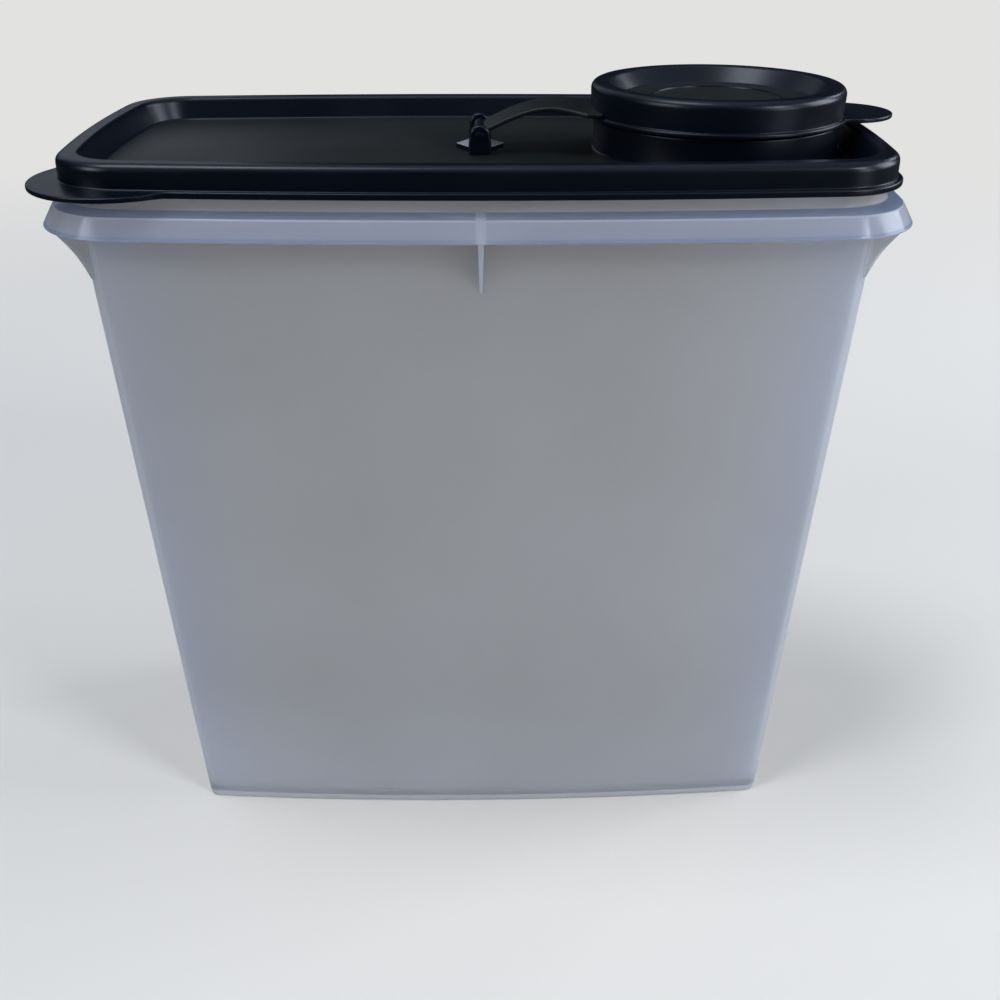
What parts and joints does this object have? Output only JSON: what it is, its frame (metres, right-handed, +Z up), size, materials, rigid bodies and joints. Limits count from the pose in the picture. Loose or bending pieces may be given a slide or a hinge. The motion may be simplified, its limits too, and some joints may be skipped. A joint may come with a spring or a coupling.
{
  "type": "cereal container",
  "caption": "Tapered translucent food keeper with a black push-on lid, a round pouring spout and a strap-hinged flip cap.",
  "frame": {"origin": "middle of the base, on the surface the container stands on", "axes": "+Z up, +X along the length towards the spout, +Y across the depth, away from the pictured front"},
  "size_m": [0.2578, 0.1336, 0.2449],
  "materials": {
    "milky_polypropylene": "clear to milky polypropylene with a fine satin surface",
    "black_polyethylene": "black polyethylene, fine satin surface with soft gloss on rounded edges"
  },
  "bodies": {
    "box": {"container": "milky_polypropylene"},
    "cover": {"lid": "black_polyethylene"},
    "arm": {"strap": "black_polyethylene"},
    "cap": {"flip_cap": "black_polyethylene"}
  },
  "joints": [
    {"name": "lid_lift", "type": "slide", "parent": "box", "child": "cover", "axis": [0, 0, 1], "range_m": [0, 0.06]},
    {"name": "strap_swing", "type": "hinge", "parent": "cover", "child": "arm", "pos_m": [0, 0, 0.23055], "axis": [0, -1, 0], "range_deg": [0, 160]},
    {"name": "cap_tilt", "type": "hinge", "parent": "arm", "child": "cap", "pos_m": [0.0333, 0, 0.23755], "axis": [0, -1, 0], "range_deg": [0, 15]}
  ]
}
